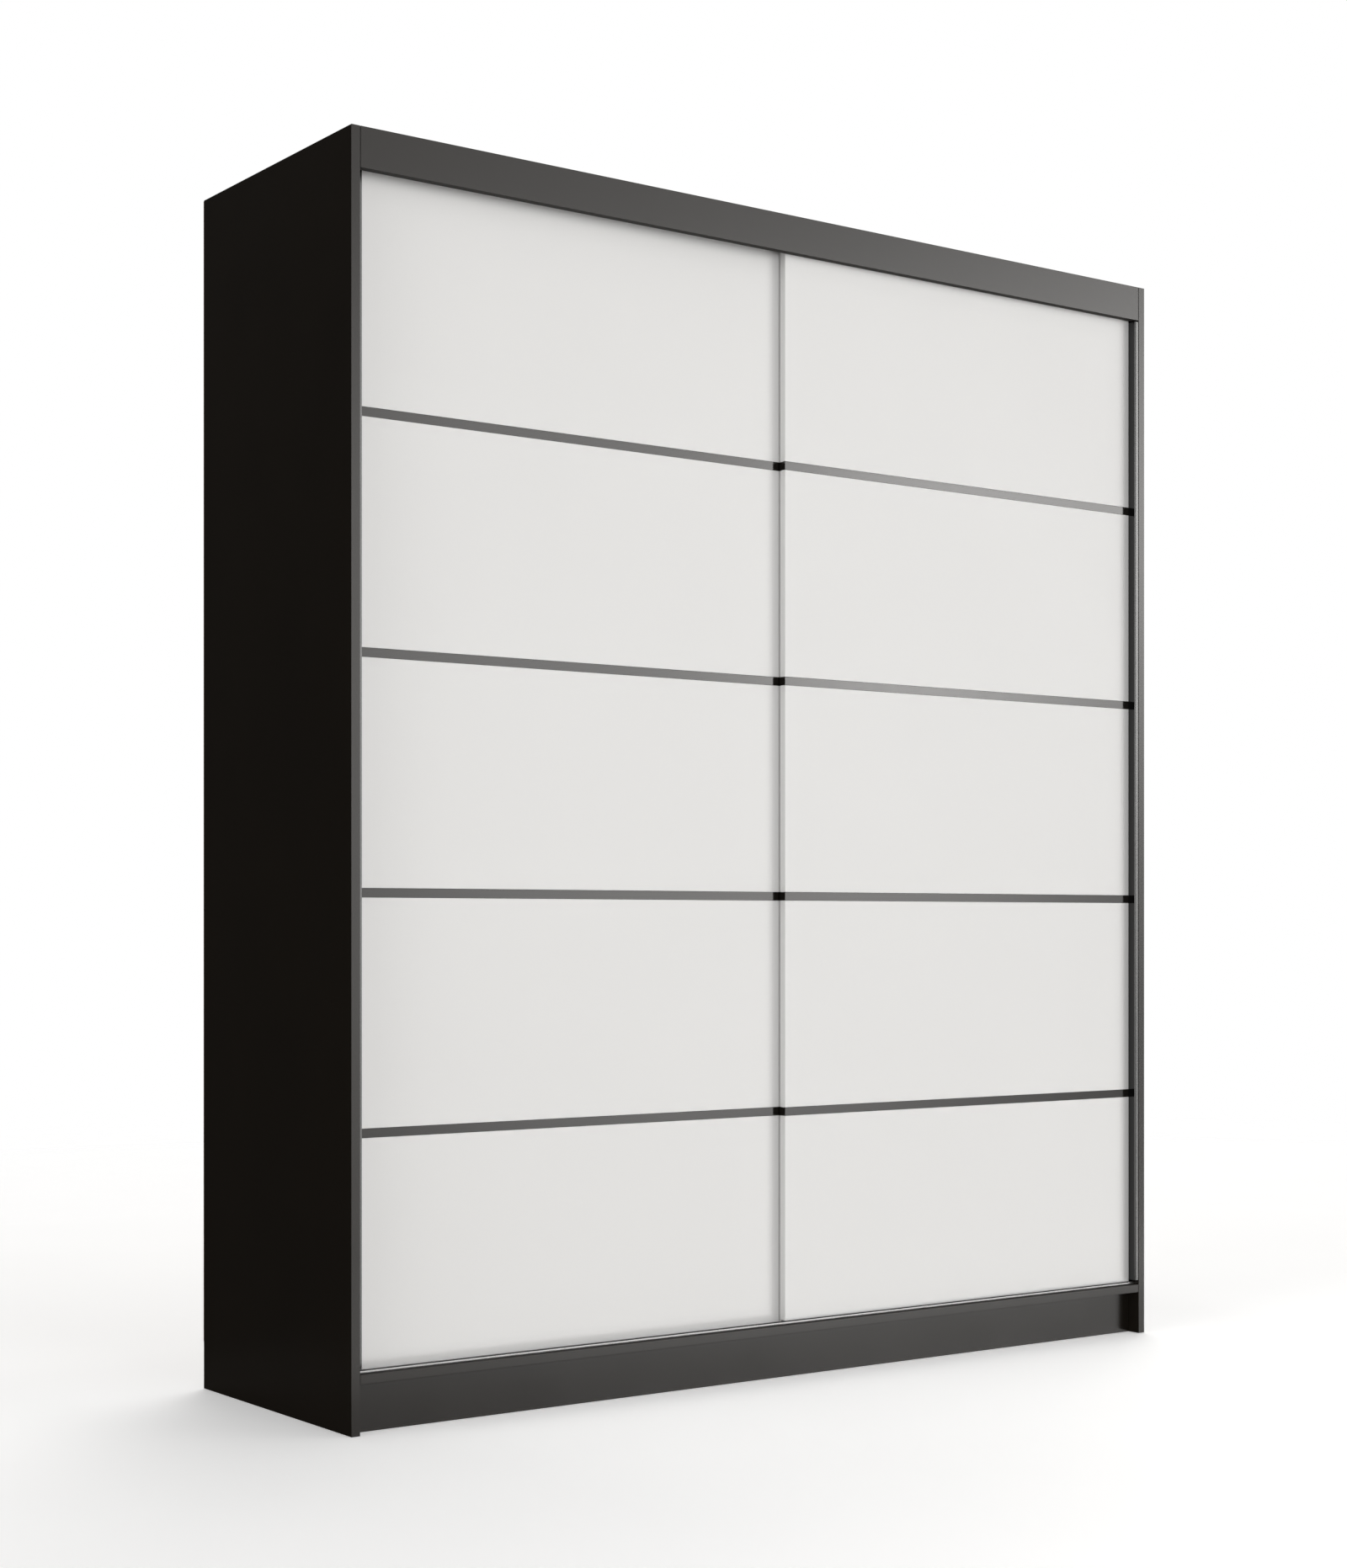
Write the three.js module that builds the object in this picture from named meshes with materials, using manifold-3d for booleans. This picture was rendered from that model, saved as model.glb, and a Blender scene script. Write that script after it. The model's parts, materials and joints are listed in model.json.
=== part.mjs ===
// A free-standing wardrobe with two sliding doors that run past each other.
// Units are millimetres. X runs along the front, +Y goes from the front to the back, +Z is up.
// The origin is on the floor, under the middle of the wardrobe's box.

import * as THREE from 'three';
import { mergeVertices } from 'three/addons/utils/BufferGeometryUtils.js';
import Module from 'manifold-3d';

const wasm = await Module();
wasm.setup();

// Driving dimensions of the carcass

const WIDTH = 1800;
const DEPTH = 580;
const HEIGHT = 2150;
const BOARD = 16; // laminated chipboard
const BACK_PANEL = 3; // hardboard
const JOINT = 0.2; // clearance where two pieces are fixed face to face
const PLINTH_HEIGHT = 84;
const PLINTH_SETBACK = 30;
const FASCIA_HEIGHT = 68.5;
const FASCIA_GAP = 0.8; // at each end of the fascia
const INTERIOR_SETBACK = 80; // front of the partition, behind both doors
const SHELF_SETBACK = 92;
const HAT_SHELF_TOP = 1800;
const SHELF_COUNT = 4;
const BACK_LAP = 1; // the back panels stop this far inside the carcass's outline

// Driving dimensions of the doors

const DOOR_SIDE_GAP = 1.5; // between a closed door and the side panel
const DOOR_OVERLAP = 8; // how far the closed doors overlap in the middle
const FRONT_DOOR_SETBACK = 20;
const DOOR_PITCH = 19; // from one door's face to the other's
const DOOR_BOTTOM = 102.3;
const DOOR_TOP = 2098;
const STRIP_HEIGHT = 15.6;
const FIELD_HEIGHT = 383.6; // panel height between two strips
const FIRST_STRIP_TOP = 500.8;
const STRIP_COUNT = 4;
const TONGUE = { thickness: 8, length: 6 };
const EDGE_TONGUE = { thickness: 4.4, length: 9 };
const TONGUE_CLEARANCE = 0.2;
const RIB_SLOT = { width: 10, depth: 3.5 }; // routed along a door's lower edge, to straddle the track's ribs
const PROFILE_BOTTOM = 106; // the profiles on the doors' edges stop above the track

// Running gear

const TRACK_WALL = 1.5;
const TRACK_FLANGE = 30;
const TRACK_BASE = 1.2;
const RIB_HEIGHT = 1.8;
const WHEEL_RADIUS = 11;
const WHEEL_WIDTH = 4;
const WHEEL_BORE = 2.35;
const WHEEL_CHAMFER = { radial: 1, axial: 0.8 };
const WHEEL_SIDE_PLAY = 1.2; // between a wheel and the ribs beside it
const AXLE_RADIUS = 2;
const AXLE_SEAT = 1.5; // how far the axle goes into each cheek of its housing
const ROUND_SEGMENTS = 24;
const WHEEL_CLEARANCE = 0.3;
const GEAR_INSET = 90; // wheels and guides, from each end of a door
const HOUSING = { length: 46, width: 10, height: 24, rimPlay: 1.5, sidePlay: 0.5 };

// Faces that follow from those dimensions

const LEFT = -WIDTH / 2;
const RIGHT = WIDTH / 2;
const INNER_LEFT = LEFT + BOARD;
const INNER_RIGHT = RIGHT - BOARD;
const CARCASS_DEPTH = DEPTH - BACK_PANEL - JOINT;
const FLOOR_TOP = PLINTH_HEIGHT + JOINT + BOARD;
const CEILING = HEIGHT - BOARD;
const DOOR_WIDTH = (INNER_RIGHT - INNER_LEFT - 2 * DOOR_SIDE_GAP + DOOR_OVERLAP) / 2;

const deep = (setback) => -DEPTH / 2 + setback;

// Materials

const finish = (color, roughness, metalness = 0) => ({ color, roughness, metalness });
const BLACK_LAMINATE = finish(0x2c2b29, 0.35);
const GLOSS_BLACK = finish(0x101010, 0.12);
const WHITE_LAMINATE = finish(0xe6e4e0, 0.45);
const HARDBOARD = finish(0xb9b4aa, 0.7);
const ALUMINIUM = finish(0xc9cacc, 0.3, 1);
const DARK_ALUMINIUM = finish(0x35363a, 0.35, 1);
const CHROME = finish(0xd8dadd, 0.1, 1);
const BLACK_PLASTIC = finish(0x1c1c1e, 0.5);
const WHEEL_PLASTIC = finish(0xd9d6cd, 0.4);

const wardrobe = new THREE.Group();

function add(name, surface, geometry) {
  const mesh = new THREE.Mesh(geometry, new THREE.MeshStandardMaterial(surface));
  mesh.name = name;
  wardrobe.add(mesh);
  return mesh;
}

// Geometry helpers: every range is [low, high]

function block([x0, x1], [y0, y1], [z0, z1]) {
  const geometry = new THREE.BoxGeometry(x1 - x0, y1 - y0, z1 - z0);
  return geometry.translate((x0 + x1) / 2, (y0 + y1) / 2, (z0 + z1) / 2);
}

function board(name, surface, xs, ys, zs) {
  return add(name, surface, block(xs, ys, zs));
}

function outline(points) {
  return new THREE.Shape(points.map(([u, v]) => new THREE.Vector2(u, v)));
}

// An outline drawn in X and Y, standing from z0 to z1
function upright(shape, [z0, z1]) {
  const geometry = new THREE.ExtrudeGeometry(shape, {
    depth: z1 - z0,
    bevelEnabled: false,
    curveSegments: ROUND_SEGMENTS / 4,
  });
  return geometry.translate(0, 0, z0);
}

// An outline drawn in Y and Z, running from x0 to x1
function lengthwise(shape, [x0, x1]) {
  const turn = new THREE.Matrix4().makeBasis(
    new THREE.Vector3(0, 1, 0),
    new THREE.Vector3(0, 0, 1),
    new THREE.Vector3(1, 0, 0),
  );
  return upright(shape, [x0, x1]).applyMatrix4(turn);
}

function toSolid(geometry) {
  const bare = geometry.clone();
  bare.deleteAttribute('normal');
  bare.deleteAttribute('uv');
  const merged = mergeVertices(bare);
  return new wasm.Manifold(new wasm.Mesh({
    numProp: 3,
    vertProperties: new Float32Array(merged.attributes.position.array),
    triVerts: new Uint32Array(merged.index.array),
  }));
}

function toGeometry(solid) {
  const mesh = solid.getMesh();
  const geometry = new THREE.BufferGeometry();
  geometry.setAttribute('position', new THREE.BufferAttribute(mesh.vertProperties, 3));
  geometry.setIndex(new THREE.BufferAttribute(mesh.triVerts, 1));
  geometry.computeVertexNormals();
  return geometry;
}

function cut(geometry, tools) {
  return toGeometry(tools.reduce((solid, tool) => solid.subtract(toSolid(tool)), toSolid(geometry)));
}

function join(geometries) {
  return toGeometry(geometries.map(toSolid).reduce((whole, solid) => whole.add(solid)));
}

// Carcass

function buildCarcass() {
  const depth = [deep(0), deep(CARCASS_DEPTH)];
  const between = [INNER_LEFT + JOINT, INNER_RIGHT - JOINT];
  board('side_panel_left', BLACK_LAMINATE, [LEFT, INNER_LEFT], depth, [0, HEIGHT]);
  board('side_panel_right', BLACK_LAMINATE, [INNER_RIGHT, RIGHT], depth, [0, HEIGHT]);

  board('fascia', BLACK_LAMINATE, [INNER_LEFT + FASCIA_GAP, INNER_RIGHT - FASCIA_GAP],
    [deep(0), deep(BOARD)], [HEIGHT - FASCIA_HEIGHT, HEIGHT]);
  board('top_board', BLACK_LAMINATE, between, [deep(BOARD + JOINT), depth[1]], [CEILING, HEIGHT]);
  board('bottom_board', BLACK_LAMINATE, between, depth, [PLINTH_HEIGHT + JOINT, FLOOR_TOP]);
  board('centre_partition', WHITE_LAMINATE, [-BOARD / 2, BOARD / 2],
    [deep(INTERIOR_SETBACK), depth[1]], [FLOOR_TOP + JOINT, CEILING - JOINT]);
}

function buildPlinth() {
  const rearFace = CARCASS_DEPTH - PLINTH_SETBACK;
  const between = [INNER_LEFT + JOINT, INNER_RIGHT - JOINT];
  const height = [0, PLINTH_HEIGHT];
  board('plinth_front', BLACK_LAMINATE, between,
    [deep(PLINTH_SETBACK), deep(PLINTH_SETBACK + BOARD)], height);
  board('plinth_rear', BLACK_LAMINATE, between, [deep(rearFace - BOARD), deep(rearFace)], height);
  const ribDepth = [deep(PLINTH_SETBACK + BOARD + JOINT), deep(rearFace - BOARD - JOINT)];
  for (const [side, x] of [['left', LEFT / 2], ['centre', 0], ['right', RIGHT / 2]]) {
    board(`plinth_rib_${side}`, BLACK_LAMINATE, [x - BOARD / 2, x + BOARD / 2], ribDepth, height);
  }
}

function buildBack() {
  const thickness = [deep(DEPTH - BACK_PANEL), deep(DEPTH)];
  const height = [PLINTH_HEIGHT + BACK_LAP, HEIGHT - BACK_LAP];
  board('back_panel_left', HARDBOARD, [LEFT + BACK_LAP, -BACK_LAP], thickness, height);
  board('back_panel_right', HARDBOARD, [BACK_LAP, RIGHT - BACK_LAP], thickness, height);
}

function buildShelves() {
  const depth = [deep(SHELF_SETBACK), deep(CARCASS_DEPTH)];
  const leftBay = [INNER_LEFT + JOINT, -BOARD / 2 - JOINT];
  const rightBay = [BOARD / 2 + JOINT, INNER_RIGHT - JOINT];
  const hatShelf = [HAT_SHELF_TOP - BOARD, HAT_SHELF_TOP];
  board('hat_shelf_left', WHITE_LAMINATE, leftBay, depth, hatShelf);
  board('hat_shelf_right', WHITE_LAMINATE, rightBay, depth, hatShelf);

  const spacing = (HAT_SHELF_TOP - FLOOR_TOP) / (SHELF_COUNT + 1);
  for (let i = 1; i <= SHELF_COUNT; i += 1) {
    const top = FLOOR_TOP + i * spacing;
    board(`shelf_${i}`, WHITE_LAMINATE, leftBay, depth, [top - BOARD, top]);
  }
}

// Hanging rail: an oval tube that drops into an open-topped socket at each end

const RAIL = { width: 15, height: 30, wall: 1.2, drop: 62 };
const SOCKET = { wall: 2, depth: 14, flange: 2.5, flangeHeight: 58, flangeWidth: 26 };

// An oval with straight sides, taller than it is wide
function oval(width, height, y, z) {
  const radius = width / 2;
  const straight = height / 2 - radius;
  const shape = new THREE.Shape();
  shape.moveTo(y + radius, z - straight);
  shape.lineTo(y + radius, z + straight);
  shape.absarc(y, z + straight, radius, 0, Math.PI, false);
  shape.lineTo(y - radius, z - straight);
  shape.absarc(y, z - straight, radius, Math.PI, 2 * Math.PI, false);
  return shape;
}

function buildRail() {
  const y = deep((SHELF_SETBACK + CARCASS_DEPTH) / 2);
  const z = HAT_SHELF_TOP - BOARD - RAIL.drop;
  const wallLeft = BOARD / 2 + JOINT;
  const wallRight = INNER_RIGHT - JOINT;

  const tube = oval(RAIL.width, RAIL.height, y, z);
  tube.holes.push(oval(RAIL.width - 2 * RAIL.wall, RAIL.height - 2 * RAIL.wall, y, z));
  const tubeGap = SOCKET.flange + JOINT;
  add('hanging_rail', CHROME, lengthwise(tube, [wallLeft + tubeGap, wallRight - tubeGap]));

  const bore = { width: RAIL.width + 2 * JOINT, height: RAIL.height + 2 * JOINT };
  const socket = (flangeRange, cupRange) => {
    const flange = lengthwise(oval(SOCKET.flangeWidth, SOCKET.flangeHeight, y, z), flangeRange);
    const cup = lengthwise(oval(bore.width + 2 * SOCKET.wall, bore.height + 2 * SOCKET.wall, y, z), cupRange);
    const seat = lengthwise(oval(bore.width, bore.height, y, z), cupRange);
    const mouthSides = [y - bore.width / 2, y + bore.width / 2];
    const mouth = block(cupRange, mouthSides, [z, z + SOCKET.flangeHeight]);
    return join([flange, cut(cup, [seat, mouth])]);
  };
  add('rail_socket_left', CHROME, socket(
    [wallLeft, wallLeft + SOCKET.flange],
    [wallLeft + SOCKET.flange, wallLeft + SOCKET.depth],
  ));
  add('rail_socket_right', CHROME, socket(
    [wallRight - SOCKET.flange, wallRight],
    [wallRight - SOCKET.depth, wallRight - SOCKET.flange],
  ));
}

// Tracks: each door hangs upright between two flanges above and rolls in a groove below

const FRONT_PLANE = FRONT_DOOR_SETBACK + BOARD / 2;
const REAR_PLANE = FRONT_PLANE + DOOR_PITCH;
const TRACK_RANGE = [INNER_LEFT + JOINT, INNER_RIGHT - JOINT];
const TRACK_SEAT = FLOOR_TOP + JOINT;
const GROOVE_FLOOR = TRACK_SEAT + TRACK_BASE;
const FLANGE_BOTTOM = CEILING - JOINT - TRACK_FLANGE;

function buildTopTrack() {
  const top = CEILING - JOINT;
  const roof = top - TRACK_WALL;
  const flanges = [
    FRONT_PLANE - DOOR_PITCH / 2,
    FRONT_PLANE + DOOR_PITCH / 2,
    REAR_PLANE + DOOR_PITCH / 2,
  ];
  const half = TRACK_WALL / 2;
  const points = [];
  flanges.forEach((middle, i) => {
    if (i > 0) {
      points.push([deep(middle - half), roof]);
    }
    points.push([deep(middle - half), FLANGE_BOTTOM], [deep(middle + half), FLANGE_BOTTOM]);
    if (i < flanges.length - 1) {
      points.push([deep(middle + half), roof]);
    }
  });
  points.push([deep(flanges[2] + half), top], [deep(flanges[0] - half), top]);
  add('top_track', ALUMINIUM, lengthwise(outline(points), TRACK_RANGE));
}

const TRACK_FRONT = 14.5;
const TRACK_REAR = 58;
const TRACK_LIP = { thickness: 2, height: 2.2 };
const EDGE_STRIP_HEIGHT = 2; // the soft black strip along the top of the front lip
const GROOVE_WIDTH = WHEEL_WIDTH + 2 * WHEEL_SIDE_PLAY;

// A base with a lip along the front and the rear, and a pair of ribs under each door
function buildBottomTrack() {
  const lipTop = GROOVE_FLOOR + TRACK_LIP.height;
  const ribTop = GROOVE_FLOOR + RIB_HEIGHT;
  const frontLip = { front: TRACK_FRONT, rear: TRACK_FRONT + TRACK_LIP.thickness, top: lipTop };
  const rearLip = { front: TRACK_REAR - TRACK_LIP.thickness, rear: TRACK_REAR, top: lipTop };
  const ribs = [REAR_PLANE, FRONT_PLANE].flatMap((plane) => [
    { front: plane + GROOVE_WIDTH / 2, rear: plane + GROOVE_WIDTH / 2 + TRACK_BASE, top: ribTop },
    { front: plane - GROOVE_WIDTH / 2 - TRACK_BASE, rear: plane - GROOVE_WIDTH / 2, top: ribTop },
  ]);
  const points = [[deep(TRACK_REAR), TRACK_SEAT]];
  for (const { front, rear, top } of [rearLip, ...ribs, frontLip]) {
    points.push([deep(rear), GROOVE_FLOOR], [deep(rear), top]);
    points.push([deep(front), top], [deep(front), GROOVE_FLOOR]);
  }
  points.push([deep(TRACK_FRONT), TRACK_SEAT]);
  add('bottom_track', ALUMINIUM, lengthwise(outline(points), TRACK_RANGE));

  const seat = lipTop + JOINT;
  board('track_edge_strip', BLACK_PLASTIC, TRACK_RANGE, [deep(frontLip.front), deep(frontLip.rear)],
    [seat, seat + EDGE_STRIP_HEIGHT]);
}

// Doors: white panels tongued into black divider strips, with an aluminium profile on the outer edge

const HANDLE = { width: 7.8, nose: 3.2, setback: 0.3, bottom: 109, top: 2079 };
const GRIP = { width: 21, proud: 1, groove: 13, grooveDepth: 9, grooveRadius: 3 };
const GUIDE = { length: 34, width: 15, flange: 2, flangeLength: 48, headroom: 6, tenon: 28, tenonDepth: 14 };

// A panel's section in Y and Z, with a tongue on its lower and upper edge where asked
function panelSection(plane, bottom, top, tongueBelow, tongueAbove) {
  const face = BOARD / 2;
  const half = TONGUE.thickness / 2;
  const points = [];
  if (tongueBelow) {
    points.push([-face, bottom], [-half, bottom], [-half, bottom - TONGUE.length],
      [half, bottom - TONGUE.length], [half, bottom], [face, bottom]);
  } else {
    points.push([-face, bottom], [face, bottom]);
  }
  if (tongueAbove) {
    points.push([face, top], [half, top], [half, top + TONGUE.length],
      [-half, top + TONGUE.length], [-half, top], [-face, top]);
  } else {
    points.push([face, top], [-face, top]);
  }
  return outline(points.map(([y, z]) => [deep(plane) + y, z]));
}

// A strip's H-shaped section, whose grooves take the tongues of the panels above and below
function stripSection(plane, bottom, top) {
  const face = BOARD / 2;
  const half = TONGUE.thickness / 2 + TONGUE_CLEARANCE;
  const groove = TONGUE.length + JOINT;
  const points = [
    [-face, bottom], [-half, bottom], [-half, bottom + groove], [half, bottom + groove],
    [half, bottom], [face, bottom], [face, top], [half, top], [half, top - groove],
    [-half, top - groove], [-half, top], [-face, top],
  ];
  return outline(points.map(([y, z]) => [deep(plane) + y, z]));
}

// The fin that a hand pulls: a flat bar on the door's edge, proud of its face, with a rounded nose
function handleGeometry(plane, edge) {
  const front = deep(HANDLE.setback);
  const rear = deep(plane + BOARD / 2);
  const root = edge - HANDLE.width;
  const shape = new THREE.Shape();
  shape.moveTo(edge, rear);
  shape.lineTo(root, rear);
  shape.lineTo(root, deep(plane) + EDGE_TONGUE.thickness / 2);
  shape.lineTo(root - EDGE_TONGUE.length, deep(plane) + EDGE_TONGUE.thickness / 2);
  shape.lineTo(root - EDGE_TONGUE.length, deep(plane) - EDGE_TONGUE.thickness / 2);
  shape.lineTo(root, deep(plane) - EDGE_TONGUE.thickness / 2);
  shape.lineTo(root, front + HANDLE.nose);
  shape.absarc(root + HANDLE.nose, front + HANDLE.nose, HANDLE.nose, Math.PI, 1.5 * Math.PI, false);
  shape.lineTo(edge, front);
  const bar = upright(shape, [PROFILE_BOTTOM, DOOR_TOP]);
  // Both ends are notched, to clear the track's lip and the fascia
  const ahead = [front - JOINT, deep(FRONT_DOOR_SETBACK)];
  const wide = [root - JOINT, edge + JOINT];
  return cut(bar, [
    block(wide, ahead, [PROFILE_BOTTOM - JOINT, HANDLE.bottom]),
    block(wide, ahead, [HANDLE.top, DOOR_TOP + JOINT]),
  ]);
}

// The flush grip: an edge profile with a finger groove in its front
function gripGeometry(plane, edge) {
  const front = deep(plane - BOARD / 2 - GRIP.proud);
  const rear = deep(plane + BOARD / 2);
  const inner = edge + GRIP.width;
  const grooveLeft = edge + (GRIP.width - GRIP.groove) / 2;
  const grooveRight = grooveLeft + GRIP.groove;
  const floor = front + GRIP.grooveDepth;
  const r = GRIP.grooveRadius;
  const shape = new THREE.Shape();
  shape.moveTo(edge, rear);
  shape.lineTo(edge, front);
  shape.lineTo(grooveLeft, front);
  shape.lineTo(grooveLeft, floor - r);
  shape.absarc(grooveLeft + r, floor - r, r, Math.PI, Math.PI / 2, true);
  shape.lineTo(grooveRight - r, floor);
  shape.absarc(grooveRight - r, floor - r, r, Math.PI / 2, 0, true);
  shape.lineTo(grooveRight, front);
  shape.lineTo(inner, front);
  shape.lineTo(inner, deep(plane) - EDGE_TONGUE.thickness / 2);
  shape.lineTo(inner + EDGE_TONGUE.length, deep(plane) - EDGE_TONGUE.thickness / 2);
  shape.lineTo(inner + EDGE_TONGUE.length, deep(plane) + EDGE_TONGUE.thickness / 2);
  shape.lineTo(inner, deep(plane) + EDGE_TONGUE.thickness / 2);
  shape.lineTo(inner, rear);
  return upright(shape, [PROFILE_BOTTOM, DOOR_TOP]);
}

// The slot along the door's lower edge that lets it straddle the track's ribs
function ribSlot(plane) {
  const half = RIB_SLOT.width / 2;
  return block([LEFT, RIGHT], [deep(plane) - half, deep(plane) + half],
    [DOOR_BOTTOM - JOINT, DOOR_BOTTOM + RIB_SLOT.depth]);
}

// The groove in the door's outer edge that takes the profile's tongue
function edgeGroove(plane, edgeX, inward) {
  const length = EDGE_TONGUE.length + JOINT + TONGUE_CLEARANCE;
  const half = EDGE_TONGUE.thickness / 2 + TONGUE_CLEARANCE;
  const ends = [edgeX - inward * JOINT, edgeX + inward * length].sort((a, b) => a - b);
  return block(ends, [deep(plane) - half, deep(plane) + half], [0, HEIGHT]);
}

// A wheel's housing, let into the door above the rib slot, with the axle across its two cheeks
const HOUSING_BOTTOM = DOOR_BOTTOM + RIB_SLOT.depth + JOINT;

function housingGeometry(plane, x) {
  const y = deep(plane);
  const axleHeight = GROOVE_FLOOR + WHEEL_CLEARANCE + WHEEL_RADIUS;
  const shell = block([x - HOUSING.length / 2, x + HOUSING.length / 2],
    [y - HOUSING.width / 2, y + HOUSING.width / 2], [HOUSING_BOTTOM, HOUSING_BOTTOM + HOUSING.height]);
  const slotHalf = WHEEL_RADIUS + HOUSING.rimPlay;
  const slotWidth = WHEEL_WIDTH + 2 * HOUSING.sidePlay;
  const slot = block([x - slotHalf, x + slotHalf], [y - slotWidth / 2, y + slotWidth / 2],
    [HOUSING_BOTTOM - JOINT, axleHeight + slotHalf]);
  const axleLength = slotWidth + 2 * AXLE_SEAT;
  const axle = new THREE.CylinderGeometry(AXLE_RADIUS, AXLE_RADIUS, axleLength, ROUND_SEGMENTS);
  return join([cut(shell, [slot]), axle.translate(x, y, axleHeight)]);
}

function wheelGeometry(plane, x) {
  const half = WHEEL_WIDTH / 2;
  const shoulder = { radius: WHEEL_RADIUS - WHEEL_CHAMFER.radial, half: half - WHEEL_CHAMFER.axial };
  const profile = [
    [WHEEL_BORE, -half], [shoulder.radius, -half], [WHEEL_RADIUS, -shoulder.half],
    [WHEEL_RADIUS, shoulder.half], [shoulder.radius, half], [WHEEL_BORE, half], [WHEEL_BORE, -half],
  ];
  const wheel = new THREE.LatheGeometry(profile.map(([r, y]) => new THREE.Vector2(r, y)), ROUND_SEGMENTS);
  return wheel.translate(x, deep(plane), GROOVE_FLOOR + WHEEL_CLEARANCE + WHEEL_RADIUS);
}

// A stadium-shaped outline in X and Y, long in X
function stadium(x, y, length, width) {
  const radius = width / 2;
  const straight = length / 2 - radius;
  const shape = new THREE.Shape();
  shape.moveTo(x - straight, y - radius);
  shape.lineTo(x + straight, y - radius);
  shape.absarc(x + straight, y, radius, -Math.PI / 2, Math.PI / 2, false);
  shape.lineTo(x - straight, y + radius);
  shape.absarc(x - straight, y, radius, Math.PI / 2, 1.5 * Math.PI, false);
  return shape;
}

// A guide: a tenon in the door's top edge, a thin flange on it and a nose that runs in the track
function guideGeometry(plane, x) {
  const y = deep(plane);
  const seat = DOOR_TOP + JOINT;
  const noseTop = CEILING - JOINT - TRACK_WALL - GUIDE.headroom;
  const flangeTop = seat + GUIDE.flange;
  const tenonHalf = TONGUE.thickness / 2;
  return join([
    upright(stadium(x, y, GUIDE.flangeLength, GUIDE.width), [seat, flangeTop]),
    upright(stadium(x, y, GUIDE.length, GUIDE.width), [seat, noseTop]),
    block([x - GUIDE.tenon / 2, x + GUIDE.tenon / 2], [y - tenonHalf, y + tenonHalf],
      [seat - GUIDE.tenonDepth, flangeTop]),
  ]);
}

// A pocket that holds an insert with a clearance all round
function pocket(plane, x, length, width, zs) {
  const halfLength = length / 2 + JOINT;
  const halfWidth = width / 2 + JOINT;
  const y = deep(plane);
  return block([x - halfLength, x + halfLength], [y - halfWidth, y + halfWidth], zs);
}

function buildDoor(door) {
  const { name, plane, start, outerSide, profile, profileWidth, profileGeometry } = door;
  const end = start + DOOR_WIDTH;
  const outerEdge = outerSide > 0 ? end : start;
  const panelEdge = outerEdge - outerSide * (profileWidth + JOINT);
  const sheet = outerSide > 0 ? [start, panelEdge] : [panelEdge, end];
  const groove = edgeGroove(plane, panelEdge, -outerSide);
  const gear = [['left', start + GEAR_INSET], ['right', end - GEAR_INSET]];

  const housingPocket = gear.map(([, x]) => pocket(plane, x, HOUSING.length, HOUSING.width,
    [DOOR_BOTTOM - JOINT, HOUSING_BOTTOM + JOINT + HOUSING.height]));
  const tenonPocket = gear.map(([, x]) => pocket(plane, x, GUIDE.tenon, TONGUE.thickness,
    [DOOR_TOP - GUIDE.tenonDepth, DOOR_TOP + JOINT]));

  const stripTops = Array.from({ length: STRIP_COUNT }, (_, i) => FIRST_STRIP_TOP
    + i * (FIELD_HEIGHT + STRIP_HEIGHT));
  const bottoms = [DOOR_BOTTOM, ...stripTops.map((z) => z + JOINT)];
  const tops = [...stripTops.map((z) => z - STRIP_HEIGHT - JOINT), DOOR_TOP];

  bottoms.forEach((bottom, i) => {
    const lowest = i === 0;
    const highest = i === STRIP_COUNT;
    const section = panelSection(plane, bottom, tops[i], !lowest, !highest);
    const below = lowest ? [ribSlot(plane), ...housingPocket] : [];
    const above = highest ? tenonPocket : [];
    const panel = cut(lengthwise(section, sheet), [groove, ...below, ...above]);
    add(`${name}_panel_${i + 1}`, WHITE_LAMINATE, panel);
  });
  stripTops.forEach((top, i) => {
    const section = stripSection(plane, top - STRIP_HEIGHT, top);
    add(`${name}_strip_${i + 1}`, GLOSS_BLACK, cut(lengthwise(section, sheet), [groove]));
  });
  add(`${name}_${profile}`, DARK_ALUMINIUM, profileGeometry(plane, outerEdge));

  for (const [side, x] of gear) {
    add(`${name}_housing_${side}`, BLACK_PLASTIC, housingGeometry(plane, x));
    add(`${name}_wheel_${side}`, WHEEL_PLASTIC, wheelGeometry(plane, x));
    add(`${name}_guide_${side}`, BLACK_PLASTIC, guideGeometry(plane, x));
  }
}

buildCarcass();
buildPlinth();
buildBack();
buildShelves();
buildRail();
buildTopTrack();
buildBottomTrack();
buildDoor({
  name: 'front_door',
  plane: FRONT_PLANE,
  start: INNER_RIGHT - DOOR_SIDE_GAP - DOOR_WIDTH,
  outerSide: 1,
  profile: 'handle',
  profileWidth: HANDLE.width,
  profileGeometry: handleGeometry,
});
buildDoor({
  name: 'rear_door',
  plane: REAR_PLANE,
  start: INNER_LEFT + DOOR_SIDE_GAP,
  outerSide: -1,
  profile: 'grip',
  profileWidth: GRIP.width,
  profileGeometry: gripGeometry,
});

export default wardrobe;
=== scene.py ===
"""The looks of a wardrobe with two sliding doors: materials, fine fittings, light and camera."""

import json
import math

import bmesh
import bpy
from mathutils import Matrix, Vector


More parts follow.
